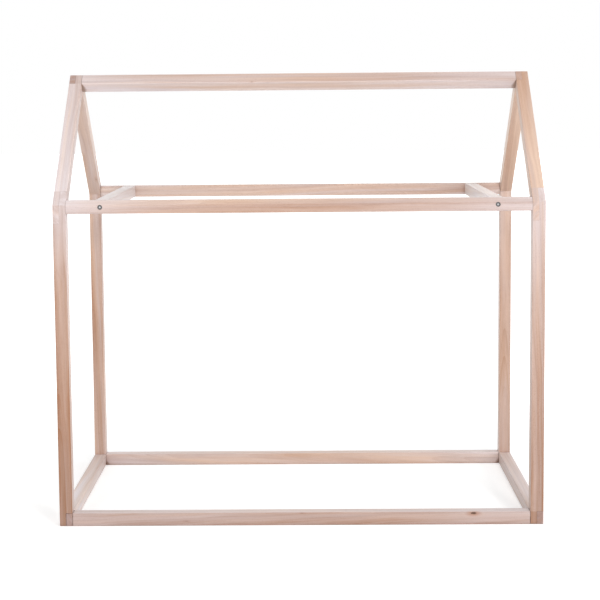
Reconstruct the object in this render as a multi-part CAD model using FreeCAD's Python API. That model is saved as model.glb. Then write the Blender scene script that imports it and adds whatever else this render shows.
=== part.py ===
import FreeCAD, Part
import os
from collections import namedtuple
from math import atan2, cos, hypot, sin, sqrt

# House frame bed for a 700 x 1400 mm mattress that lies on the floor: two house-shaped gables of
# half-lapped square bars, joined by a ridge beam, two eave rails, two bottom rails and two cross beams.
# Millimetres. +X runs along the ridge, +Y to the back and +Z up. The origin is on the floor, in the middle.

# Overall sizes
overall_length = 1500.0  # outer face to outer face of the gables
overall_depth = 800.0  # front of the front posts to back of the back posts
eave_height = 1000.0  # floor to the corner where a post's outer face meets the roof plane
ridge_height = 1400.0  # floor to the line where the two roof planes meet
bar_side = 40.0  # every bar is planed from one square stock
lap_depth = 20.0  # thickness of the half-lap that lies on a gable's -X side
edge_radius = 2.0  # eased edges

# Places of the eave rails and the cross beams
eave_rail_rise = 13.0  # top of an eave rail above the eave corner, where the roof plane bevels it
cross_beam_inset = 145.0  # a gable's outer face to the nearer cross beam's centre line

# Flat-head furniture bolt with a hexagon socket
bolt_diameter = 6.0
bolt_past_nut = 3.8  # tip past the barrel nut's axis
bolt_tip_chamfer = 1.0
head_diameter = 14.0
head_height = 3.0
head_rim_radius = 0.8
head_recess = 0.8  # top of the head below the wood
socket_across_flats = 5.0
socket_depth = 2.4
socket_drill_diameter = 4.6  # its point is left below the socket's flats
socket_point_height = 1.3

# Barrel nut that lies across the end of a bar
nut_diameter = 10.0
nut_length = 16.0
nut_setback = 30.0  # end of the bar to the nut's axis
nut_slot_width = 1.4
nut_slot_depth = 1.6

# Wooden dowel beside each bolt
dowel_diameter = 8.0
dowel_length = 30.0
dowel_chamfer = 1.0
dowel_offset = 12.0  # from the bolt's axis

# Clearances
shank_clearance = 0.5  # bolt in the wood, radial
head_clearance = 0.5  # head in its counterbore, radial
thread_clearance = 0.05  # bolt in the nut, radial
nut_clearance = 0.15  # nut in the wood, radial
nut_end_clearance = 0.3  # past the nut's inner end
dowel_clearance = 0.05  # dowel in the wood, radial
dowel_end_clearance = 0.8  # past each end of a dowel
tip_clearance = 3.0  # past a bolt's tip
cut_overrun = 5.0  # how far a cutter runs past the wood that it cuts

# What counts as the same direction or the same place when edges are picked
direction_tolerance = 1e-6
place_tolerance = 0.01

# Derived sizes
half_length = overall_length / 2
half_depth = overall_depth / 2
half_bar = bar_side / 2
roof_rise = ridge_height - eave_height
roof_angle = atan2(roof_rise, half_depth)
rafter_drop = bar_side / cos(roof_angle)  # upright distance across a rafter
inner_gable_x = half_length - bar_side
inner_depth = half_depth - bar_side
rail_axis_y = half_depth - half_bar
eave_rail_top = eave_height + eave_rail_rise
eave_rail_axis_z = eave_rail_top - half_bar
ridge_axis_z = ridge_height - rafter_drop / 2
cross_beam_x = half_length - cross_beam_inset
# In a joint's own frame the contact plane is at 0, the crossed bar above it and the butting bar below.
head_seat = bar_side - head_height - head_recess
head_top = head_seat + head_height
bolt_tip = -nut_setback - bolt_past_nut

X_AXIS = FreeCAD.Vector(1, 0, 0)
Y_AXIS = FreeCAD.Vector(0, 1, 0)
Z_AXIS = FreeCAD.Vector(0, 0, 1)

GABLES = {"left": -1, "right": 1}
RAILS = {"front": -1, "back": 1}

# A butt joint. origin: centre of the contact plane. out: from the butting bar through the crossed one.
# under: the side of the butting bar that the barrel nut goes in from. dowel_way: from the bolt to the dowel.
Joint = namedtuple("Joint", "origin out under dowel_way")


# ---------------------------------------------------------------- basic shapes


def prism(points, x_from, x_to):
    """The solid that fills an outline of (y, z) points from x_from to x_to."""
    outline = [FreeCAD.Vector(x_from, y, z) for y, z in points]
    face = Part.Face(Part.makePolygon(outline + outline[:1]))
    return face.extrude(X_AXIS * (x_to - x_from))


def box(low, high):
    """The box between two corners."""
    corner = FreeCAD.Vector(*low)
    size = FreeCAD.Vector(*high) - corner
    return Part.makeBox(size.x, size.y, size.z, corner)


def cylinder(radius, low, high):
    """An upright cylinder about the Z axis."""
    return Part.makeCylinder(radius, high - low, Z_AXIS * low)


def hexagon(across_flats, low, high):
    """An upright hexagonal prism about the Z axis."""
    corner = FreeCAD.Vector(across_flats / sqrt(3), 0, low)
    sixth_turn = FreeCAD.Rotation(Z_AXIS, 60)
    corners = [corner]
    for _ in range(5):
        corners.append(sixth_turn.multVec(corners[-1]))
    return Part.Face(Part.makePolygon(corners + corners[:1])).extrude(Z_AXIS * (high - low))


def only_solid(shape):
    """The single solid of a boolean result, with the seams between its coplanar faces taken out."""
    refined = shape.removeSplitter()
    if len(refined.Solids) != 1:
        raise ValueError("expected one solid, found %d" % len(refined.Solids))
    return refined.Solids[0]


def placed(shape, placement):
    """A copy of a shape, moved by a placement."""
    copy = shape.copy()
    copy.Placement = placement.multiply(copy.Placement)
    return copy


def runs_along(edge, axis):
    """True if a straight edge is parallel to an axis."""
    way = edge.Vertexes[-1].Point - edge.Vertexes[0].Point
    return way.Length > 0 and abs(way.normalize().dot(axis)) > 1 - direction_tolerance


def rim(shape, height):
    """The edges of an upright round shape that lie at one height."""
    flat = [e for e in shape.Edges if e.BoundBox.ZLength < place_tolerance]
    return [e for e in flat if abs(e.BoundBox.ZMin - height) < place_tolerance]


# ---------------------------------------------------------------- gables


def house_outline(inset):
    """The gable's outline as (y, z) points, moved inwards by inset on every side."""
    side = half_depth - inset
    apex = ridge_height - inset / cos(roof_angle)
    eave = apex - side * roof_rise / half_depth
    return [(-side, inset), (side, inset), (side, eave), (0, apex), (-side, eave)]


def is_window_rim(edge):
    """True if an edge joins two corners of a gable's inner outline without crossing the gable."""
    corners = house_outline(bar_side)
    ends = [min(hypot(v.Y - y, v.Z - z) for y, z in corners) for v in edge.Vertexes]
    return edge.BoundBox.XLength < place_tolerance and max(ends) < place_tolerance


def gable_blank(x_from):
    """One glued gable before it is parted into its bars: a house-shaped ring with eased edges."""
    x_to = x_from + bar_side
    body = prism(house_outline(0), x_from, x_to)
    body = body.makeFillet(edge_radius, body.Edges)
    window = prism(house_outline(bar_side), x_from - cut_overrun, x_to + cut_overrun)
    ring = body.cut(window)
    return ring.makeFillet(edge_radius, [e for e in ring.Edges if is_window_rim(e)])


def bar_strips(x_from, x_to):
    """The endless strips that a gable's bars are cut from, between two planes across X."""
    low = -cut_overrun
    high = ridge_height + cut_overrun
    reach = half_depth + cut_overrun
    climb = roof_rise / half_depth * reach
    front_rafter = [
        (-reach, ridge_height - climb - rafter_drop),
        (reach, ridge_height + climb - rafter_drop),
        (reach, ridge_height + climb),
        (-reach, ridge_height - climb),
    ]
    outlines = {
        "front_post": [(-reach, low), (-inner_depth, low), (-inner_depth, high), (-reach, high)],
        "back_post": [(inner_depth, low), (reach, low), (reach, high), (inner_depth, high)],
        "front_rafter": front_rafter,
        "back_rafter": [(-y, z) for y, z in front_rafter],
        "side_rail": [(-reach, low), (reach, low), (reach, bar_side), (-reach, bar_side)],
    }
    return {name: prism(points, x_from, x_to) for name, points in outlines.items()}


# The bars that each bar gives way to, in the two halves of a gable's thickness.
LAPS_ON_MINUS_X = {
    "front_post": ["front_rafter"],
    "back_post": ["back_rafter"],
    "front_rafter": ["back_rafter"],
    "back_rafter": [],
    "side_rail": ["front_post", "back_post"],
}
LAPS_ON_PLUS_X = {
    "front_post": ["side_rail"],
    "back_post": ["side_rail"],
    "front_rafter": ["front_post"],
    "back_rafter": ["back_post", "front_rafter"],
    "side_rail": [],
}


def half_bars(blank, x_from, x_to, laps):
    """The part of each bar that lies between two planes across X."""
    strips = bar_strips(x_from, x_to)
    halves = {}
    for name, strip in strips.items():
        half = blank.common(strip)
        for other in laps[name]:
            half = half.cut(strips[other])
        halves[name] = half
    return halves


def gable_bars(x_from):
    """The five bars of a gable, half-lapped into each other at its five corners."""
    blank = gable_blank(x_from)
    x_split = x_from + lap_depth
    minus_halves = half_bars(blank, x_from, x_split, LAPS_ON_MINUS_X)
    plus_halves = half_bars(blank, x_split, x_from + bar_side, LAPS_ON_PLUS_X)
    return {name: only_solid(half.fuse(plus_halves[name])) for name, half in minus_halves.items()}


# ---------------------------------------------------------------- long rails and cross beams


def eased(bar, axis):
    """A straight bar with its long edges eased."""
    return bar.makeFillet(edge_radius, [e for e in bar.Edges if runs_along(e, axis)])


def ridge_beam():
    """The square bar that stands on one edge, with its upper faces in the two roof planes."""
    half_width = rafter_drop / 2 * half_depth / roof_rise
    outline = [
        (0, ridge_height),
        (-half_width, ridge_axis_z),
        (0, ridge_height - rafter_drop),
        (half_width, ridge_axis_z),
    ]
    return eased(prism(outline, -inner_gable_x, inner_gable_x), X_AXIS)


def long_bar(side, top):
    """A square bar from gable to gable, flush with the outer faces of the posts."""
    y_low = side * rail_axis_y - half_bar
    return box((-inner_gable_x, y_low, top - bar_side), (inner_gable_x, y_low + bar_side, top))


def eave_rail(side):
    """The rail at an eave, whose upper outer corner is bevelled by the roof plane."""
    under_roof = prism(house_outline(0), -half_length, half_length)
    return eased(only_solid(long_bar(side, eave_rail_top).common(under_roof)), X_AXIS)


def bottom_rail(side):
    """The rail on the floor between two posts."""
    return eased(long_bar(side, bar_side), X_AXIS)


def cross_beam(side):
    """The beam from eave rail to eave rail, level with both."""
    x_low = side * cross_beam_x - half_bar
    bar = box(
        (x_low, -inner_depth, eave_rail_top - bar_side),
        (x_low + bar_side, inner_depth, eave_rail_top),
    )
    return eased(bar, Y_AXIS)


# ---------------------------------------------------------------- bolted joints


def gable_joints(side):
    """The five joints between a gable and the long bars."""
    out = X_AXIS * side
    x = side * inner_gable_x
    back_and_down = FreeCAD.Vector(0, sin(roof_angle), -cos(roof_angle))
    back_and_up = FreeCAD.Vector(0, cos(roof_angle), sin(roof_angle))
    joints = [Joint(FreeCAD.Vector(x, 0, ridge_axis_z), out, back_and_down, back_and_up)]
    for rail_side in RAILS.values():
        for height in (eave_rail_axis_z, half_bar):
            origin = FreeCAD.Vector(x, rail_side * rail_axis_y, height)
            joints.append(Joint(origin, out, -Z_AXIS, Y_AXIS * -rail_side))
    return joints


def beam_joints(side):
    """The two joints between a cross beam and the eave rails."""
    joints = []
    for rail_side in RAILS.values():
        origin = FreeCAD.Vector(side * cross_beam_x, rail_side * inner_depth, eave_rail_axis_z)
        joints.append(Joint(origin, Y_AXIS * rail_side, -Z_AXIS, X_AXIS * -side))
    return joints


def on_bolt(shape, joint):
    """A shape drawn in the joint's frame, out along +Z and under along +Y, moved to the joint."""
    across = joint.under.cross(joint.out)
    columns = (across, joint.under, joint.out, joint.origin)
    rows = [[column[axis] for column in columns] for axis in range(3)]
    return placed(shape, FreeCAD.Placement(FreeCAD.Matrix(*rows[0], *rows[1], *rows[2])))


def on_dowel(shape, joint):
    """A round shape drawn about the Z axis, moved to the joint's dowel."""
    centre = joint.origin + joint.dowel_way * dowel_offset
    return placed(shape, FreeCAD.Placement(centre, FreeCAD.Rotation(Z_AXIS, joint.out)))


def bolt(joint):
    """The flat-head bolt of a joint, seated in its counterbore."""
    shank = cylinder(bolt_diameter / 2, bolt_tip, head_seat + head_height / 2)
    shank = shank.makeChamfer(bolt_tip_chamfer, rim(shank, bolt_tip))
    head = cylinder(head_diameter / 2, head_seat, head_top)
    head = head.makeFillet(head_rim_radius, rim(head, head_top))
    socket_floor = head_top - socket_depth
    socket = hexagon(socket_across_flats, socket_floor, head_top + cut_overrun)
    point_tip = Z_AXIS * (socket_floor - socket_point_height)
    point = Part.makeCone(0, socket_drill_diameter / 2, socket_point_height, point_tip)
    return on_bolt(only_solid(shank.fuse(head).cut([socket, point])), joint)


def barrel_nut(joint):
    """The barrel nut of a joint, with a screwdriver slot in the end that it goes in by."""
    end = nut_length / 2
    body = Part.makeCylinder(nut_diameter / 2, nut_length, FreeCAD.Vector(0, -end, -nut_setback), Y_AXIS)
    thread = cylinder(bolt_diameter / 2 + thread_clearance, -nut_setback - nut_diameter, 0)
    slot = box(
        (-nut_slot_width / 2, end - nut_slot_depth, -nut_setback - nut_diameter),
        (nut_slot_width / 2, end + cut_overrun, -nut_setback + nut_diameter),
    )
    return on_bolt(only_solid(body.cut(thread).cut(slot)), joint)


def dowel(joint):
    """The wooden dowel of a joint, half of it in each bar."""
    end = dowel_length / 2
    pin = cylinder(dowel_diameter / 2, -end, end)
    pin = pin.makeChamfer(dowel_chamfer, rim(pin, -end) + rim(pin, end))
    return on_dowel(pin, joint)


def joint_holes(joint):
    """Everything that a joint drills out of its bars."""
    face = bar_side + cut_overrun
    bolt_hole = cylinder(bolt_diameter / 2 + shank_clearance, bolt_tip - tip_clearance, face)
    counterbore = cylinder(head_diameter / 2 + head_clearance, head_seat, face)
    nut_bottom = nut_length / 2 + nut_end_clearance
    nut_hole = Part.makeCylinder(
        nut_diameter / 2 + nut_clearance,
        nut_bottom + half_bar + cut_overrun,
        FreeCAD.Vector(0, -nut_bottom, -nut_setback),
        Y_AXIS,
    )
    dowel_end = dowel_length / 2 + dowel_end_clearance
    dowel_hole = cylinder(dowel_diameter / 2 + dowel_clearance, -dowel_end, dowel_end)
    bolt_holes = [on_bolt(hole, joint) for hole in (bolt_hole, counterbore, nut_hole)]
    return bolt_holes + [on_dowel(dowel_hole, joint)]


def drill(bars, joints):
    """Drills the holes of every joint out of the bars that they reach."""
    holes = [hole for joint in joints for hole in joint_holes(joint)]
    for name, bar in bars.items():
        near = [hole for hole in holes if bar.BoundBox.intersect(hole.BoundBox)]
        bars[name] = only_solid(bar.cut(near))


# ---------------------------------------------------------------- the whole bed


def build():
    """Every node's shape by name."""
    bars = {"ridge_beam": ridge_beam()}
    for rail, side in RAILS.items():
        bars[rail + "_eave_rail"] = eave_rail(side)
        bars[rail + "_bottom_rail"] = bottom_rail(side)
    fasteners = {}
    joints = []
    for gable, side in GABLES.items():
        bars[gable + "_cross_beam"] = cross_beam(side)
        x_from = min(side * half_length, side * inner_gable_x)
        for bar_name, bar in gable_bars(x_from).items():
            bars[gable + "_" + bar_name] = bar
        for place, group in {"gable": gable_joints(side), "cross_beam": beam_joints(side)}.items():
            joints += group
            prefix = gable + "_" + place
            fasteners[prefix + "_bolts"] = Part.makeCompound([bolt(j) for j in group])
            fasteners[prefix + "_barrel_nuts"] = Part.makeCompound([barrel_nut(j) for j in group])
            fasteners[prefix + "_dowels"] = Part.makeCompound([dowel(j) for j in group])
    drill(bars, joints)
    return {**bars, **fasteners}


os.makedirs("parts", exist_ok=True)
for node, shape in build().items():
    shape.exportStep("parts/%s.step" % node)
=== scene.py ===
import random
from collections import namedtuple
from math import cos, pi, radians, sin

import bpy
from mathutils import Matrix, Vector


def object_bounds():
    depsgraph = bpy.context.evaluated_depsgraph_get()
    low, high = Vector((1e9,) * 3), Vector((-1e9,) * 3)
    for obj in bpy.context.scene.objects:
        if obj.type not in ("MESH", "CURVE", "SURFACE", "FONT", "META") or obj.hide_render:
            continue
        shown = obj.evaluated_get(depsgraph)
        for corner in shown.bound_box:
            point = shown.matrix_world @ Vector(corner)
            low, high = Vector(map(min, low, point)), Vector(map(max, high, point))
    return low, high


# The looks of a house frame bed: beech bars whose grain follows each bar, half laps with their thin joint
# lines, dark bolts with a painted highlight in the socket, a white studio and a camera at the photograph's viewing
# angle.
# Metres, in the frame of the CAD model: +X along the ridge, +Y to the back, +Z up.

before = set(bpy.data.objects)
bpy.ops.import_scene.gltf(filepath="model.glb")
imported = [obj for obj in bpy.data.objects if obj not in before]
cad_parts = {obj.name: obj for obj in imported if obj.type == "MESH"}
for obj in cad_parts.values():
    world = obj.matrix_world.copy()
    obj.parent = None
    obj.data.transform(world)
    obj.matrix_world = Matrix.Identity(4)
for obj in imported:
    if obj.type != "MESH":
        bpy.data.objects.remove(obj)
cad_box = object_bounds()

# ---------------------------------------------------------------- sizes

HALF_LENGTH = cad_box[1].x
HALF_DEPTH = cad_box[1].y
BAR = 0.040
POST_HEIGHT = 1.000
RIDGE_HEIGHT = 1.400
EAVE_RAIL_TOP = 1.013
CROSS_BEAM_INSET = 0.145
# The sine and the cosine of the roof's 45 degrees.
SLOPE = cos(pi / 4)

# The middles of the bars, and where the lengthwise ones end.
GABLE_X = HALF_LENGTH - BAR / 2
CROSS_BEAM_X = HALF_LENGTH - CROSS_BEAM_INSET
RAIL_END = HALF_LENGTH - BAR
RAIL_Y = HALF_DEPTH - BAR / 2
BOTTOM_Z = BAR / 2
EAVE_Z = EAVE_RAIL_TOP - BAR / 2
RIDGE_Z = RIDGE_HEIGHT - BAR / 2 / SLOPE

X_AXIS = Vector((1, 0, 0))
Y_AXIS = Vector((0, 1, 0))
Z_AXIS = Vector((0, 0, 1))
# The way out of the roof's front slope.
ROOF_WAY = Vector((0, -SLOPE, SLOPE))
GABLES = {"left": -1, "right": 1}
RAILS = {"front": -1, "back": 1}

# ---------------------------------------------------------------- camera

CAMERA_PLACE = (0.0313, -4.8526, 1.3252)
CAMERA_YAW = radians(-0.820)
CAMERA_PITCH = radians(-5.594)
CAMERA_ROLL = radians(0.498)
FOCAL_PIXELS = 1470.1
IMAGE_SIDE = 600
PRINCIPAL_POINT = (288.15, 240.0)
SENSOR = 36.0


def make_camera():
    """The camera that the photograph was taken with, worked out from the bed's edges."""
    ahead = Vector((
        sin(CAMERA_YAW) * cos(CAMERA_PITCH),
        cos(CAMERA_YAW) * cos(CAMERA_PITCH),
        sin(CAMERA_PITCH),
    ))
    level = Vector((cos(CAMERA_YAW), -sin(CAMERA_YAW), 0))
    down = ahead.cross(level)
    right = level * cos(CAMERA_ROLL) + down * sin(CAMERA_ROLL)
    up = level * sin(CAMERA_ROLL) - down * cos(CAMERA_ROLL)
    data = bpy.data.cameras.new("camera")
    data.sensor_width = SENSOR
    data.lens = FOCAL_PIXELS / IMAGE_SIDE * SENSOR
    data.shift_x = 0.5 - PRINCIPAL_POINT[0] / IMAGE_SIDE
    data.shift_y = PRINCIPAL_POINT[1] / IMAGE_SIDE - 0.5
    camera = bpy.data.objects.new("camera", data)
    turn = Matrix((right, up, -ahead)).transposed().to_4x4()
    camera.matrix_world = Matrix.Translation(CAMERA_PLACE) @ turn
    bpy.context.scene.collection.objects.link(camera)
    bpy.context.scene.camera = camera


# ---------------------------------------------------------------- node trees


class Graph:
    """A node tree under construction: each method adds a node and returns its output."""

    def __init__(self, tree):
        self.tree = tree

    def feed(self, socket, value):
        if isinstance(value, bpy.types.NodeSocket):
            self.tree.links.new(value, socket)
        else:
            socket.default_value = value

    def node(self, kind, inputs, settings=None):
        made = self.tree.nodes.new("ShaderNode" + kind)
        for name, value in (settings or {}).items():
            setattr(made, name, value)
        for name, value in inputs.items():
            self.feed(made.inputs[name], value)
        return made

    def math(self, operation, a, b=0.0):
        return self.node("Math", {0: a, 1: b}, {"operation": operation}).outputs[0]

    def total(self, *values):
        result = values[0]
        for value in values[1:]:
            result = self.math("ADD", result, value)
        return result

    def product(self, *values):
        result = values[0]
        for value in values[1:]:
            result = self.math("MULTIPLY", result, value)
        return result

    def largest(self, *values):
        result = values[0]
        for value in values[1:]:
            result = self.math("MAXIMUM", result, value)
        return result

    def vector(self, operation, a, b=(0.0, 0.0, 0.0)):
        made = self.node("VectorMath", {0: a, 1: b}, {"operation": operation})
        return made.outputs[1 if operation in ("DOT_PRODUCT", "DISTANCE", "LENGTH") else 0]

    def combine(self, x, y, z):
        return self.node("CombineXYZ", {0: x, 1: y, 2: z}).outputs[0]

    def split(self, vector):
        return self.node("SeparateXYZ", {0: vector}).outputs

    def ramp(self, value, low, high, to_low=0.0, to_high=1.0):
        """A smooth step from to_low at low to to_high at high."""
        inputs = {"Value": value, "From Min": low, "From Max": high, "To Min": to_low, "To Max": to_high}
        return self.node("MapRange", inputs, {"interpolation_type": "SMOOTHSTEP"}).outputs[0]

    def limited(self, value):
        """A value kept between 0 and 1."""
        return self.node("Clamp", {"Value": value}).outputs[0]

    def noise(self, vector, scale, detail=2.0, roughness=0.5, output="Fac"):
        """Noise with so many features a metre along each axis."""
        place = self.vector("MULTIPLY", vector, scale)
        inputs = {"Vector": place, "Scale": 1.0, "Detail": detail, "Roughness": roughness}
        return self.node("TexNoise", inputs).outputs[output]

    def about_zero(self, noise, strength):
        """Noise moved to vary about 0, times a strength."""
        return self.product(self.math("SUBTRACT", noise, 0.5), strength)

    def mix(self, factor, a, b, blend="MIX"):
        inputs = {0: factor, 6: a, 7: b}
        return self.node("Mix", inputs, {"data_type": "RGBA", "blend_type": blend}).outputs[2]

    def shade(self, colour, factor, shade):
        """A colour multiplied by a shade, as far as factor says."""
        return self.mix(factor, colour, (*shade, 1), "MULTIPLY")

    def group(self, tree, inputs):
        return self.node("Group", inputs, {"node_tree": tree}).outputs

    def bump(self, surface, height, strength, distance):
        """Roughens a surface shader by a height, where 1 stands for a distance in metres."""
        made = self.node("Bump", {"Height": height, "Strength": strength, "Distance": distance})
        self.feed(surface.inputs["Normal"], made.outputs[0])


def new_group(name, inputs, outputs):
    """A node group with the named sockets: its tree's graph, its inputs and its output node."""
    tree = bpy.data.node_groups.new(name, "ShaderNodeTree")
    for side, sockets in (("INPUT", inputs), ("OUTPUT", outputs)):
        for socket, kind in sockets.items():
            tree.interface.new_socket(socket, in_out=side, socket_type="NodeSocket" + kind)
    entry = tree.nodes.new("NodeGroupInput")
    result = tree.nodes.new("NodeGroupOutput")
    return Graph(tree), entry.outputs, result.inputs


def new_material(name):
    """A material with a graph and its surface shader."""
    material = bpy.data.materials.new(name)
    material.use_nodes = True
    graph = Graph(material.node_tree)
    return material, graph, material.node_tree.nodes["Principled BSDF"]


# ---------------------------------------------------------------- beech

# The wood's colour at a depth of PALEST and of DEEPEST, and what a warmth of 0 and of 1 multiply it by.
PALE_WOOD = (0.862, 0.735, 0.701, 1)
DEEP_WOOD = (0.312, 0.130, 0.053, 1)
PALEST = -0.25
DEEPEST = 1.35
PINK_CAST = (0.975, 1.040, 1.120, 1)
TAN_CAST = (1.035, 0.942, 0.805, 1)
CAST_STRENGTH = 1.8

# The grain's layers: how many features a metre they have along the bar, out from the pith and round it, and how
# much they deepen the colour.
RING_WIDTH = 0.0028
RING_WANDER = (0.4, 130.0, 6.0)
RING_STRENGTH = (0.37, 1.4, 0.0)
RING_DEPTH = 0.22
BANDS = (1.0, 62.0, 20.0)
BAND_DEPTH = 1.10
STREAKS = (3.2, 230.0, 80.0)
STREAK_DEPTH = 0.50
FIBRES = (22.0, 1500.0, 1100.0)
FIBRE_DEPTH = 0.25
CASTS = (1.7, 95.0, 30.0)
RAYS = (310.0, 70.0, 1700.0)
RAY_DEPTH = 0.55
RAY_SHADE = (0.70, 0.60, 0.55)
# How often the pith wanders, in features a metre, and how far, in metres.
PITH_WANDER = (2.2, 9.0, 9.0)
PITH_REACH = (0.0, 0.020, 0.020)
# How far a bar's pith may drift to the side for each metre of the bar.
LEAN = 0.030

WOOD_ROUGHNESS = 0.38
WOOD_SHEEN = 0.38
WOOD_SHEEN_ROUGHNESS = 0.40
WOOD_RELIEF = 0.0004

KNOT_CORE = (0.105, 0.048, 0.026, 1)
KNOT_HALO = (0.80, 0.62, 0.52)
END_GRAIN = (0.58, 0.475, 0.440)
END_GRAIN_ROUGHER = 0.15
JOINT_LINE = (0.25, 0.17, 0.14)
LINE_PATCHES = (90.0, 90.0, 90.0)
# Painted shade: the colour darkens where the ambient occlusion finds other surfaces close by, in corners and where
# bars meet each other or the floor.
PAINTED_CORNER_SHADE = (0.50, 0.36, 0.28)
PAINTED_SHADE_REACH = 0.024
# How open a place has to be to stay unshaded, and how closed to get all of the corner's shade.
CORNER_OPEN = 0.62
CORNER_CLOSED = 0.32

# How square to a direction a face has to be before it counts as facing that way, and when it does so in full.
SIDE_FACING = 0.80
END_FACING = 0.74
SQUARE_ON = 0.98


def timber_group():
    """Beech as a solid: growth rings round a pith beside the bar, bands and fibres along them, rays across them.

    Position is in the bar's frame, with X along the grain and 0 in the bar's middle. Pith is how far beside the
    bar the log's middle runs, and Lean how much it drifts sideways for each metre of the bar. Depth is how deep
    the colour is and Slope And Glare how much deeper it gets for each metre, partly the timber's own change and
    partly painted light that makes the posts paler towards the top. Warmth goes from pink at 0 to tan at 1, and
    End Paling And Glare says how much paler and pinker the wood gets with the square of the distance from the
    middle, partly a painted glare on the bars' ends.
    """
    inputs = {
        "Position": "Vector", "Seed": "Float", "Pith": "Float", "Lean": "Vector",
        "Ring Width": "Float", "Depth": "Float", "Fade": "Float", "Warmth": "Float", "Bleach": "Float",
    }
    outputs = {"Color": "Color", "Roughness": "Float", "Height": "Float"}
    g, entry, result = new_group("beech", inputs, outputs)

    shift = g.combine(entry["Seed"], g.product(entry["Seed"], 0.37), g.product(entry["Seed"], 0.73))
    place = g.vector("ADD", entry["Position"], shift)
    wander = g.noise(place, PITH_WANDER, output="Color")
    wander = g.vector("MULTIPLY", g.vector("SUBTRACT", wander, (0.5, 0.5, 0.5)), PITH_REACH)
    x, y, z = g.split(entry["Position"])
    lean = g.vector("MULTIPLY", entry["Lean"], g.combine(x, x, x))
    drift = g.split(g.vector("ADD", wander, lean))
    out = g.total(y, entry["Pith"], drift[1])
    side = g.total(z, drift[2])
    radius = g.vector("LENGTH", g.combine(0.0, out, side))
    arc = g.product(g.math("ARCTAN2", side, out), radius)
    turned = g.vector("ADD", g.combine(x, radius, arc), shift)

    # growth rings: each year's wood deepens slowly and ends in a thin line
    uneven = g.noise(turned, RING_WANDER, 1.0)
    years = g.total(g.math("DIVIDE", radius, entry["Ring Width"]), g.product(uneven, 1.6), entry["Seed"])
    season = g.math("POWER", g.math("FRACT", years), 3.0)
    strength = g.noise(g.combine(g.math("FLOOR", years), x, 0.0), RING_STRENGTH, 0.0)
    rings = g.product(season, g.ramp(strength, 0.35, 0.70, 0.15, 1.0))

    # bands, streaks and fibres that follow the rings, and a slow change from pink to tan
    bands = g.noise(turned, BANDS, 2.0, 0.55)
    streaks = g.noise(turned, STREAKS, 3.0, 0.6)
    fibres = g.noise(turned, FIBRES, 2.0, 0.6)
    cast = g.noise(turned, CASTS, 2.0, 0.55)

    # rays: thin sheets that run out from the pith, short dark dashes where they are cut across
    rays = g.ramp(g.noise(turned, RAYS, 1.0), 0.60, 0.72)

    # Painted glare, partly the timber's own change: paler and pinker with the square of the distance from the
    # middle.
    end_paling = g.product(entry["Bleach"], x, x)
    # The slope along the bar is partly painted light, making the posts paler towards the top.
    depth = g.total(
        entry["Depth"],
        g.product(entry["Fade"], x),
        g.product(end_paling, -0.5),
        g.about_zero(bands, BAND_DEPTH),
        g.about_zero(streaks, STREAK_DEPTH),
        g.about_zero(fibres, FIBRE_DEPTH),
        g.product(rings, RING_DEPTH),
    )
    depth = g.math("DIVIDE", g.math("SUBTRACT", depth, PALEST), DEEPEST - PALEST)
    colour = g.mix(g.limited(depth), PALE_WOOD, DEEP_WOOD)
    warm = g.total(entry["Warmth"], g.product(end_paling, -1.0), g.about_zero(cast, CAST_STRENGTH))
    colour = g.mix(1.0, colour, g.mix(g.limited(warm), PINK_CAST, TAN_CAST), "MULTIPLY")
    colour = g.shade(colour, g.product(rays, RAY_DEPTH), RAY_SHADE)

    g.feed(result["Color"], colour)
    roughness = g.total(WOOD_ROUGHNESS, g.product(streaks, 0.12), g.product(rays, -0.08))
    g.feed(result["Roughness"], roughness)
    relief = g.total(g.product(rings, 0.35), g.product(fibres, 0.55), g.product(rays, -0.25))
    g.feed(result["Height"], relief)
    return g.tree


def knot_group():
    """A knot whose branch crosses the bar: how dark its core and halo are, and how the grain bends round it.

    Size is the half length of the core along the grain and the half width across it. Reach is how deep the
    branch goes from the face, and Face the way out of that face, in the bar's frame.
    """
    inputs = {"Position": "Vector", "Centre": "Vector", "Size": "Vector", "Reach": "Float", "Face": "Vector"}
    outputs = {"Position": "Vector", "Core": "Float", "Halo": "Float"}
    g, entry, result = new_group("knot", inputs, outputs)
    away = g.vector("SUBTRACT", entry["Position"], entry["Centre"])
    depth = g.vector("DOT_PRODUCT", away, entry["Face"])
    flat = g.vector("SUBTRACT", away, g.vector("MULTIPLY", entry["Face"], g.combine(depth, depth, depth)))
    ragged = g.noise(entry["Position"], (260.0, 420.0, 420.0))
    spread = g.vector("LENGTH", g.vector("DIVIDE", flat, entry["Size"]))
    spread = g.total(spread, g.about_zero(ragged, 0.9))
    near = g.ramp(g.math("ABSOLUTE", depth), entry["Reach"], 0.0)
    g.feed(result["Core"], g.product(g.ramp(spread, 1.15, 0.55), near))
    g.feed(result["Halo"], g.product(g.ramp(spread, 3.4, 0.9), near))
    push = g.product(g.ramp(spread, 5.0, 0.6), near, 0.55)
    bend = g.vector("MULTIPLY", flat, g.combine(0.0, push, push))
    g.feed(result["Position"], g.vector("SUBTRACT", entry["Position"], bend))
    return g.tree


def line(g, distance, half_width):
    """1 on a plane, falling to 0 at half_width from it."""
    return g.ramp(g.math("ABSOLUTE", distance), half_width, half_width * 0.35)


def facing(g, normal, way, start, both_ways=True):
    """1 on the faces square to a direction, falling to 0 over their eased edges."""
    towards = g.vector("DOT_PRODUCT", normal, way)
    if both_ways:
        towards = g.math("ABSOLUTE", towards)
    return g.ramp(towards, start, SQUARE_ON)


# A bar of a gable: the middle of its outer face, the way from there to the inside of the house, its grain's
# direction and its length.
Strip = namedtuple("Strip", "face inward axis length")

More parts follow.
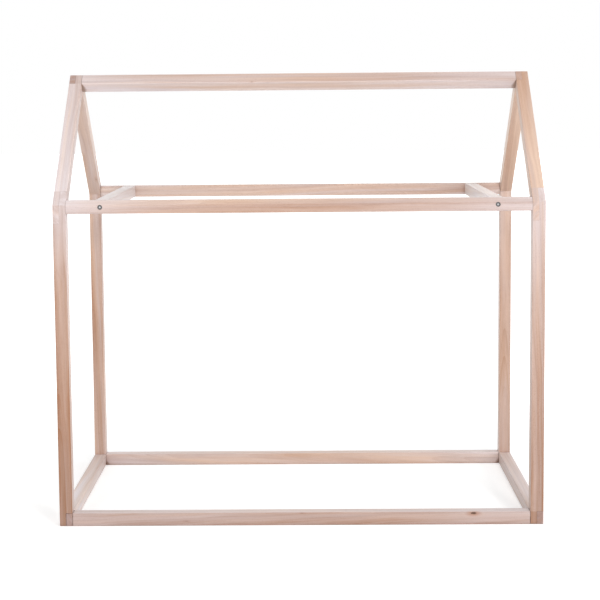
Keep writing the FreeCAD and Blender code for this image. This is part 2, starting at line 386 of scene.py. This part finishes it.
RAFTER_LENGTH = HALF_DEPTH / SLOPE
RAFTER_MIDDLE = (POST_HEIGHT + RIDGE_HEIGHT) / 2
STRIPS = {
    "front_post": Strip((0, -HALF_DEPTH, POST_HEIGHT / 2), (0, 1, 0), (0, 0, 1), POST_HEIGHT),
    "back_post": Strip((0, HALF_DEPTH, POST_HEIGHT / 2), (0, -1, 0), (0, 0, 1), POST_HEIGHT),
    "side_rail": Strip((0, 0, 0), (0, 0, 1), (0, 1, 0), 2 * HALF_DEPTH),
    "front_rafter": Strip(
        (0, -HALF_DEPTH / 2, RAFTER_MIDDLE), (0, SLOPE, -SLOPE), (0, SLOPE, SLOPE), RAFTER_LENGTH,
    ),
    "back_rafter": Strip(
        (0, HALF_DEPTH / 2, RAFTER_MIDDLE), (0, -SLOPE, -SLOPE), (0, -SLOPE, SLOPE), RAFTER_LENGTH,
    ),
}

# Each half lap: the bar that keeps its wood on the -X side and the bar that keeps it on the +X side, and how dark
# its joint lines are in the left and the right gable. Then, for each of the two bars, how much deeper and warmer its
# colour is inside the lap, again in the left and the right gable, and how much deeper both are on the front slope.
AS_OUTSIDE = ((0.00, 0.00), (0.00, 0.00))
Lap = namedtuple(
    "Lap", "minus_bar plus_bar lines minus_tone plus_tone slope_tone",
    defaults=(AS_OUTSIDE, AS_OUTSIDE, (0.00, 0.00)),
)
LAPS = [
    Lap(
        "front_post", "side_rail", (1.00, 0.40),
        minus_tone=((0.00, 0.00), (0.20, 0.00)), plus_tone=((0.34, 0.00), (0.00, 0.00)),
    ),
    Lap("back_post", "side_rail", (0.55, 0.45)),
    Lap(
        "front_rafter", "front_post", (0.16, 0.12),
        minus_tone=((0.62, 0.00), (0.15, -0.50)), plus_tone=((0.05, -0.10), (0.05, 0.00)),
        slope_tone=(-0.30, -0.08),
    ),
    Lap("back_rafter", "back_post", (0.30, 0.45)),
    Lap(
        "back_rafter", "front_rafter", (0.40, 0.15),
        minus_tone=((-0.08, -0.40), (-0.04, -0.20)), plus_tone=((0.14, 0.00), (0.02, 0.00)),
    ),
]
LINE_HALF_WIDTH = 0.0013

# How dark the line is where a rail's end meets the gable, and how dark the painted shadow beside it, a wedge that
# widens downwards.
RailEnd = namedtuple("RailEnd", "line pocket", defaults=(0.00,))
RAIL_ENDS = {
    "ridge_beam": RailEnd(0.25, 0.75),
    "front_eave_rail": RailEnd(0.15),
    "back_eave_rail": RailEnd(0.50, 0.30),
    "front_bottom_rail": RailEnd(0.95),
    "back_bottom_rail": RailEnd(0.55, 0.45),
}
END_LINE_WIDTH = 0.0024
# The painted shadow's colour and its width at the rail's underside, how far above the rail's middle it starts and
# the share of its width that it has there.
PAINTED_SHADOW_COLOUR = (0.38, 0.25, 0.15)
PAINTED_SHADOW_WIDTH = 0.017
PAINTED_SHADOW_TOP = 0.004
PAINTED_SHADOW_NARROWEST = 0.05


def strip_depth(g, position, strip):
    """How far inside a bar's outer face a point lies."""
    return g.vector("DOT_PRODUCT", g.vector("SUBTRACT", position, strip.face), strip.inward)


def in_lap(g, position, other):
    """1 where the bar that crosses this one covers it, and 0 elsewhere."""
    return g.math("LESS_THAN", strip_depth(g, position, STRIPS[other]), BAR)


def lap_lines(g, position, own, other, split, kept):
    """The joint lines that a half lap leaves on one of its two bars.

    split is the plane between the halves, and kept the side of it on which this bar keeps its wood.
    """
    own_depth = strip_depth(g, position, STRIPS[own])
    other_depth = strip_depth(g, position, STRIPS[other])
    x = g.split(position)[0]
    past_split = g.product(g.math("SUBTRACT", x, split), kept)
    inside = in_lap(g, position, other)
    kept_half = g.math("GREATER_THAN", past_split, 0.0)
    cut_half = g.math("SUBTRACT", 1.0, kept_half)
    between = g.product(line(g, past_split, LINE_HALF_WIDTH), inside)
    along = g.product(line(g, g.math("SUBTRACT", own_depth, BAR), LINE_HALF_WIDTH), inside, kept_half)
    end = g.product(line(g, g.math("SUBTRACT", other_depth, BAR), LINE_HALF_WIDTH), cut_half)
    return g.largest(between, along, end)


# How a bar's timber differs from the next: how deep its colour is in the middle and how much deeper at the far
# end, partly the timber's own change and partly painted light that leaves the posts paler at the top, how warm it
# is, from pink to tan, how much its two ends are paler and pinker, partly a painted glare, the way whose two square
# faces get a deeper colour and by how much, how far beside it the pith ran, and which way round it was sawn.
Timber = namedtuple("Timber", "depth fade warmth bleach flat_way flat_tone pith roll")
# A bar: its node, its grain's direction, its length, its middle, its timber and its knots. A bar of a gable has its
# name there and the gable's side, -1 or 1, as well.
Bar = namedtuple("Bar", "node axis length centre timber knots gable_bar side", defaults=((), None, 0))
# A knot: its place, its half length and half width, how deep it goes, the face that it shows on and how dark it is.
Knot = namedtuple("Knot", "place size reach face darkness")


def bend_round_knots(g, bar, ways, inner, tree):
    """The place inside a bar with the grain bent round its knots, and how dark each one's halo and core are."""
    marks = []
    for knot in bar.knots:
        to_knot = Vector(knot.place) - bar.centre
        made = g.group(tree, {
            "Position": inner,
            "Centre": [to_knot.dot(way) for way in ways],
            "Size": (knot.size[0], knot.size[1], knot.size[1]),
            "Reach": knot.reach,
            "Face": [knot.face.dot(way) for way in ways],
        })
        inner = made["Position"]
        marks.append((g.product(made["Halo"], knot.darkness), g.product(made["Core"], knot.darkness)))
    return inner, marks


def lap_looks(g, bar, place, normal):
    """How much deeper and warmer a gable's bar is inside its half laps, and the laps' joint lines."""
    deeper, warmer, lines = [], [], []
    split = bar.side * GABLE_X
    gable = list(GABLES.values()).index(bar.side) if bar.gable_bar else None
    for lap in LAPS:
        for own, other, kept, tones in (
            (lap.minus_bar, lap.plus_bar, -1.0, lap.minus_tone),
            (lap.plus_bar, lap.minus_bar, 1.0, lap.plus_tone),
        ):
            if own == bar.gable_bar:
                depth, warmth = tones[gable]
                lapped = in_lap(g, place, other)
                on_slope = facing(g, normal, ROOF_WAY, SIDE_FACING, both_ways=False)
                deeper.append(g.product(lapped, depth))
                deeper.append(g.product(lapped, on_slope, lap.slope_tone[gable]))
                warmer.append(g.product(lapped, warmth))
                lines.append(g.product(lap_lines(g, place, own, other, split, kept), lap.lines[gable]))
    return deeper, warmer, lines


def end_looks(g, bar, place):
    """How dark the joint line and the painted shadow wedge are where a rail's ends meet the gables."""
    x, _, z = g.split(place)
    past_end = g.math("SUBTRACT", g.math("ABSOLUTE", x), RAIL_END)
    height = g.math("SUBTRACT", z, bar.centre.z)
    share = g.ramp(height, PAINTED_SHADOW_TOP, -BAR / 2, PAINTED_SHADOW_NARROWEST, 1.0)
    pocket = line(g, g.math("DIVIDE", past_end, share), PAINTED_SHADOW_WIDTH)
    look = RAIL_ENDS[bar.node]
    return g.product(line(g, past_end, END_LINE_WIDTH), look.line), g.product(pocket, look.pocket)


def beech_material(bar, trees, chance):
    """The beech of one bar, with its grain along the bar, its knots, end grain, joint lines, and painted shade in
    its corners and beside the rails' ends.
    """
    material, g, surface = new_material("beech " + bar.node.replace("_", " "))
    coordinates = g.node("TexCoord", {}).outputs
    place = coordinates["Object"]
    normal = coordinates["Normal"]
    timber = bar.timber

    across = Matrix.Rotation(timber.roll, 3, bar.axis) @ bar.axis.orthogonal().normalized()
    ways = (bar.axis, across, bar.axis.cross(across))
    away = g.vector("SUBTRACT", place, bar.centre)
    inner = g.combine(*[g.vector("DOT_PRODUCT", away, way) for way in ways])
    inner, knot_marks = bend_round_knots(g, bar, ways, inner, trees["knot"])

    # The faces square to the timber's toned way get their colour deepened by its face tone, which pales them where
    # it is below 0.
    toned_faces = facing(g, normal, timber.flat_way, SIDE_FACING)
    deeper, warmer, lines = lap_looks(g, bar, place, normal)
    pocket = None
    if bar.node in RAIL_ENDS:
        end_line, pocket = end_looks(g, bar, place)
        lines.append(end_line)

    lean = (0.0, chance.uniform(-LEAN, LEAN), chance.uniform(-LEAN, LEAN))
    wood = g.group(trees["beech"], {
        "Position": inner,
        "Seed": chance.uniform(0.0, 1.0),
        "Pith": timber.pith,
        "Lean": lean,
        "Ring Width": RING_WIDTH,
        "Depth": g.total(g.product(toned_faces, timber.flat_tone), timber.depth, *deeper),
        "Fade": timber.fade / bar.length * 2,
        "Warmth": g.total(timber.warmth, *warmer),
        "Bleach": timber.bleach / bar.length ** 2 * 4,
    })
    colour = wood["Color"]
    for halo, core in knot_marks:
        colour = g.shade(colour, halo, KNOT_HALO)
        colour = g.mix(core, colour, KNOT_CORE)
    end_grain = facing(g, normal, bar.axis, END_FACING)
    colour = g.shade(colour, end_grain, END_GRAIN)
    if lines:
        patchy = g.ramp(g.noise(place, LINE_PATCHES), 0.3, 0.6, 0.60, 1.0)
        colour = g.shade(colour, g.product(g.largest(*lines), patchy), JOINT_LINE)
    # Painted shadow: a dark wedge beside a rail's end, widest at the rail's underside.
    if pocket is not None:
        colour = g.shade(colour, pocket, PAINTED_SHADOW_COLOUR)
    # Painted shade in the corners, darker the more closed in a place is.
    openness = g.node("AmbientOcclusion", {"Distance": PAINTED_SHADE_REACH}, {"samples": 8}).outputs["AO"]
    colour = g.shade(colour, g.ramp(openness, CORNER_OPEN, CORNER_CLOSED), PAINTED_CORNER_SHADE)

    g.feed(surface.inputs["Base Color"], colour)
    g.feed(surface.inputs["Roughness"], g.total(wood["Roughness"], g.product(end_grain, END_GRAIN_ROUGHER)))
    surface.inputs["Sheen Weight"].default_value = WOOD_SHEEN
    surface.inputs["Sheen Roughness"].default_value = WOOD_SHEEN_ROUGHNESS
    g.bump(surface, wood["Height"], 0.35, WOOD_RELIEF)
    return material


# ---------------------------------------------------------------- the bars and their timber


def bars():
    """Every bar of the bed."""
    # The second and fourth columns are partly painted light: posts paler at the top, and paler, pinker ends as
    # painted glare.
    timber = {
        "ridge_beam": Timber(0.23, 0.12, 0.47, 0.52, ROOF_WAY, 0.35, 0.075, radians(20)),
        "front_eave_rail": Timber(0.76, 0.04, 0.66, 0.73, ROOF_WAY, -0.22, 0.060, radians(80)),
        "back_eave_rail": Timber(0.49, 0.15, 0.61, 0.26, Z_AXIS, 0.00, 0.080, radians(200)),
        "front_bottom_rail": Timber(0.83, -0.11, 0.28, 0.40, Z_AXIS, -0.36, 0.055, radians(100)),
        "back_bottom_rail": Timber(0.53, -0.05, 0.65, 0.50, Z_AXIS, -0.10, 0.070, radians(310)),
        "left_front_post": Timber(1.10, -0.27, 0.60, 0.61, X_AXIS, -0.50, 0.065, radians(35)),
        "left_back_post": Timber(0.82, -0.03, 0.69, 0.35, X_AXIS, -0.34, 0.060, radians(160)),
        "left_front_rafter": Timber(0.03, 0.21, 0.10, 0.00, X_AXIS, 0.43, 0.090, radians(70)),
        "left_back_rafter": Timber(0.29, -0.16, 0.71, 0.00, X_AXIS, -0.04, 0.070, radians(240)),
        "left_side_rail": Timber(0.34, 0.45, 0.29, 0.20, X_AXIS, 0.02, 0.065, radians(15)),
        "left_cross_beam": Timber(0.37, 0.08, 0.00, 0.00, Z_AXIS, -0.08, 0.075, radians(120)),
        "right_front_post": Timber(0.82, -0.36, 0.38, 0.37, X_AXIS, 0.06, 0.060, radians(300)),
        "right_back_post": Timber(0.80, -0.08, 0.69, 0.32, X_AXIS, -0.39, 0.085, radians(45)),
        "right_front_rafter": Timber(0.45, 0.16, 1.00, 0.00, X_AXIS, 0.08, 0.060, radians(190)),
        "right_back_rafter": Timber(0.54, -0.37, 1.36, 0.45, X_AXIS, -0.55, 0.075, radians(330)),
        "right_side_rail": Timber(0.46, 0.15, 0.06, -0.10, X_AXIS, 0.09, 0.060, radians(95)),
        "right_cross_beam": Timber(0.08, 0.46, 0.34, 0.00, X_AXIS, -0.03, 0.070, radians(260)),
    }
    knots = {
        "front_bottom_rail": [
            Knot((0.534, -HALF_DEPTH, 0.0356), (0.0095, 0.0040), 0.016, -Y_AXIS, 1.00),
            Knot((0.003, -HALF_DEPTH, 0.0380), (0.0060, 0.0010), 0.006, -Y_AXIS, 0.45),
            Knot((-0.355, -HALF_DEPTH, 0.0140), (0.0070, 0.0012), 0.006, -Y_AXIS, 0.30),
        ],
        "ridge_beam": [
            Knot((-0.152, -0.0273, 1.3727), (0.0040, 0.0016), 0.008, ROOF_WAY, 0.35),
        ],
        "left_back_rafter": [
            Knot((-0.716, 0.3040, 1.0390), (0.0060, 0.0020), 0.010, Vector((0, -SLOPE, -SLOPE)), 0.40),
        ],
    }
    lengthwise = {"ridge_beam": (0, RIDGE_Z)}
    for name, way in RAILS.items():
        lengthwise[name + "_eave_rail"] = (way * RAIL_Y, EAVE_Z)
        lengthwise[name + "_bottom_rail"] = (way * RAIL_Y, BOTTOM_Z)
    made = []
    for node, (y, z) in lengthwise.items():
        made.append(Bar(node, X_AXIS, 2 * RAIL_END, Vector((0, y, z)), timber[node], knots.get(node, ())))
    for gable, side in GABLES.items():
        node = gable + "_cross_beam"
        centre = Vector((side * CROSS_BEAM_X, 0, EAVE_Z))
        length = 2 * (HALF_DEPTH - BAR)
        made.append(Bar(node, Y_AXIS, length, centre, timber[node]))
        for name, strip in STRIPS.items():
            node = gable + "_" + name
            centre = Vector(strip.face) + Vector(strip.inward) * BAR / 2
            centre.x = side * GABLE_X
            axis = Vector(strip.axis)
            made.append(Bar(node, axis, strip.length, centre, timber[node], knots.get(node, ()), name, side))
    return made


# ---------------------------------------------------------------- fasteners

SOCKET_RADIUS = 0.0031
HEAD_RADIUS = 0.007
DARK_STEEL = (0.100, 0.100, 0.104, 1)
DARKER_BLOTCH = (0.72, 0.70, 0.68)
WORN_STEEL_AND_GLINT = (0.52, 0.52, 0.53, 1)
RIM_WEAR = 0.35
SCRATCH_WEAR = 0.4
# The lathe's feed for each turn, which leaves a fine spiral.
TURNING_PITCH = 0.00045
ZINC = (0.60, 0.61, 0.63, 1)
ZINC_SPANGLE = (0.80, 0.82, 0.86)
DOWEL_TIMBER = Timber(0.45, 0.00, 0.60, 0.00, X_AXIS, 0.00, 0.050, 0.0)


def bolt_material(name, centres, axis):
    """Burnished steel, turned on a lathe, its rim and scratches rubbed bright, with a painted highlight in the
    socket.
    """
    material, g, surface = new_material(name)
    place = g.node("TexCoord", {}).outputs["Object"]
    across = Vector((1, 1, 1)) - axis
    flat = g.vector("MULTIPLY", place, across)
    distances = [g.vector("DISTANCE", flat, Vector(c) * across) for c in centres]
    off_axis = distances[0]
    for distance in distances[1:]:
        off_axis = g.math("MINIMUM", off_axis, distance)
    blotches = g.noise(place, (900.0, 900.0, 900.0), 3.0, 0.6)
    scratches = g.noise(place, (2600.0, 700.0, 5200.0))
    ragged = g.total(off_axis, g.about_zero(blotches, 0.0012))
    # A painted highlight: the socket takes the bright steel colour where a reflection would shine.
    socket = g.ramp(ragged, SOCKET_RADIUS, SOCKET_RADIUS * 0.85)
    rim = g.product(g.ramp(ragged, HEAD_RADIUS * 0.90, HEAD_RADIUS * 0.99), RIM_WEAR)
    worn_and_glint = g.largest(socket, rim, g.product(g.ramp(scratches, 0.66, 0.74), SCRATCH_WEAR))
    dark = g.shade(DARK_STEEL, g.ramp(blotches, 0.35, 0.65), DARKER_BLOTCH)
    g.feed(surface.inputs["Base Color"], g.mix(worn_and_glint, dark, WORN_STEEL_AND_GLINT))
    surface.inputs["Metallic"].default_value = 1.0
    g.feed(surface.inputs["Roughness"], g.ramp(blotches, 0.2, 0.8, 0.30, 0.46))
    turning = g.math("SINE", g.product(off_axis, 2 * pi / TURNING_PITCH))
    g.bump(surface, g.total(g.product(turning, 0.5), scratches), 0.25, 0.00006)
    return material


def zinc_material():
    """Zinc-plated steel with its fine spangle and handling marks."""
    material, g, surface = new_material("zinc plated steel")
    place = g.node("TexCoord", {}).outputs["Object"]
    spangle = g.noise(place, (700.0, 700.0, 700.0), 3.0, 0.6)
    marks = g.noise(place, (3000.0, 900.0, 4000.0))
    g.feed(surface.inputs["Base Color"], g.shade(ZINC, g.ramp(spangle, 0.3, 0.7), ZINC_SPANGLE))
    surface.inputs["Metallic"].default_value = 1.0
    g.feed(surface.inputs["Roughness"], g.ramp(marks, 0.3, 0.7, 0.26, 0.42))
    g.bump(surface, marks, 0.2, 0.00005)
    return material


def dress_fasteners(trees, chance):
    """Gives the bolts, barrel nuts and dowels their materials."""
    zinc = zinc_material()
    gable_places = [(0, 0, RIDGE_Z)]
    gable_places += [(0, way * RAIL_Y, z) for way in RAILS.values() for z in (EAVE_Z, BOTTOM_Z)]
    for gable, side in GABLES.items():
        beam_places = [(side * CROSS_BEAM_X, 0, EAVE_Z)]
        for place, centres, axis in (("gable", gable_places, X_AXIS), ("cross_beam", beam_places, Y_AXIS)):
            prefix = gable + "_" + place
            bolts = bolt_material("burnished steel " + prefix.replace("_", " "), centres, axis)
            dowel = Bar(prefix + "_dowels", axis, BAR, Vector(centres[0]), DOWEL_TIMBER)
            dress(prefix + "_bolts", bolts)
            dress(prefix + "_barrel_nuts", zinc)
            dress(prefix + "_dowels", beech_material(dowel, trees, chance))


def dress(node, material):
    """Gives a node's every material slot one material."""
    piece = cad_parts[node]
    for slot in piece.material_slots:
        slot.material = material


# ---------------------------------------------------------------- studio

WHITE = (1, 1, 1, 1)
# How strongly the white surround lights the bed.
AMBIENT = 0.46
FLOOR_HALF_SIDE = 30.0
FLOOR_DROP = 0.0003
FLOOR_PAINTS = ((0.80, 0.80, 0.80, 1), (0.84, 0.84, 0.84, 1))
# The floor's own glow, which rises to white between two distances from the bed's middle.
FLOOR_GLOW = 0.39
GLOW_START = 0.8
GLOW_END = 2.2


def seen_directly(g):
    """1 for what the camera sees, straight or in gloss or glass, and 0 for what lights the bed."""
    path = g.node("LightPath", {}).outputs
    return g.largest(path["Is Camera Ray"], path["Is Glossy Ray"], path["Is Transmission Ray"])


def make_world():
    """An even white surround."""
    world = bpy.data.worlds.new("studio")
    world.use_nodes = True
    g = Graph(world.node_tree)
    background = world.node_tree.nodes["Background"]
    background.inputs["Color"].default_value = WHITE
    g.feed(background.inputs["Strength"], g.ramp(seen_directly(g), 0.0, 1.0, AMBIENT, 1.0))
    bpy.context.scene.world = world


def make_floor():
    """A white floor that keeps the bed's soft shadow and fades into the white surround."""
    mesh = bpy.data.meshes.new("floor")
    square = ((-1, -1), (1, -1), (1, 1), (-1, 1))
    points = [(x * FLOOR_HALF_SIDE, y * FLOOR_HALF_SIDE, -FLOOR_DROP) for x, y in square]
    mesh.from_pydata(points, [], [(0, 1, 2, 3)])
    floor = bpy.data.objects.new("floor", mesh)
    bpy.context.scene.collection.objects.link(floor)
    material = bpy.data.materials.new("floor")
    material.use_nodes = True
    tree = material.node_tree
    tree.nodes.clear()
    g = Graph(tree)
    place = g.node("TexCoord", {}).outputs["Object"]
    away = g.vector("LENGTH", place)
    paint = g.mix(g.noise(place, (40.0, 40.0, 40.0), 3.0), *FLOOR_PAINTS)
    lift = g.product(seen_directly(g), g.ramp(away, GLOW_START, GLOW_END, FLOOR_GLOW, 1.0))
    matt = g.node("BsdfDiffuse", {"Color": paint}).outputs[0]
    glow = g.node("Emission", {"Color": WHITE, "Strength": lift}).outputs[0]
    both = g.node("AddShader", {0: matt, 1: glow}).outputs[0]
    tree.links.new(both, g.node("OutputMaterial", {}).inputs["Surface"])
    mesh.materials.append(material)


WARM_WHITE = (1.0, 0.985, 0.97)
COOL_WHITE = (0.88, 0.98, 1.0)
# The lights' powers in watts, for each side those of its key and of the softbox at its end, and their widths.
SIDE_POWERS = {"right": (44.0, 171.0), "left": (21.5, 59.0)}
FILL_POWER = 24.5
TOP_POWER = 16.0
KEY_SIZE = 0.5
FILL_SIZE = 1.6
END_SIZE = 2.9
TOP_SIZE = 2.4
AIM_HEIGHT = 0.7


def area_light(name, place, target, size, power, colour=WARM_WHITE, mirrored=True):
    """A square light that faces a point, and that the bed's gloss mirrors or not."""
    data = bpy.data.lights.new(name, "AREA")
    data.size = size
    data.energy = power
    data.color = colour
    light = bpy.data.objects.new(name, data)
    light.location = place
    light.visible_glossy = mirrored
    light.rotation_euler = (Vector(target) - Vector(place)).to_track_quat("-Z", "Y").to_euler()
    bpy.context.scene.collection.objects.link(light)


def make_lights():
    """Two keys high in front with a broad fill below each, and softboxes overhead and at the bed's two ends.

    The right ones are the stronger. The bed mirrors none of the softboxes, so its gloss doesn't burn out end on.
    """
    for name, (key_power, end_power) in SIDE_POWERS.items():
        side = GABLES[name]
        area_light("key " + name, (side * 1.6, -4.0, 3.5), (side * 0.2, 0.0, AIM_HEIGHT), KEY_SIZE, key_power)
        area_light("fill " + name, (side * 1.9, -3.8, 1.1), (side * 0.3, 0.0, AIM_HEIGHT), FILL_SIZE, FILL_POWER)
        area_light(
            "softbox " + name, (side * 6.0, -1.3, 2.0), (0.0, 0.0, AIM_HEIGHT), END_SIZE, end_power, mirrored=False,
        )
    area_light(
        "softbox top", (0.0, 0.2, 3.6), (0.0, 0.0, 0.0), TOP_SIZE, TOP_POWER, COOL_WHITE, mirrored=False,
    )


# ---------------------------------------------------------------- the picture

SEED = 11

make_camera()
make_world()
make_floor()
make_lights()
chance = random.Random(SEED)
trees = {"beech": timber_group(), "knot": knot_group()}
for bar in bars():
    dress(bar.node, beech_material(bar, trees, chance))
dress_fasteners(trees, chance)
bpy.context.scene.view_settings.view_transform = "Standard"
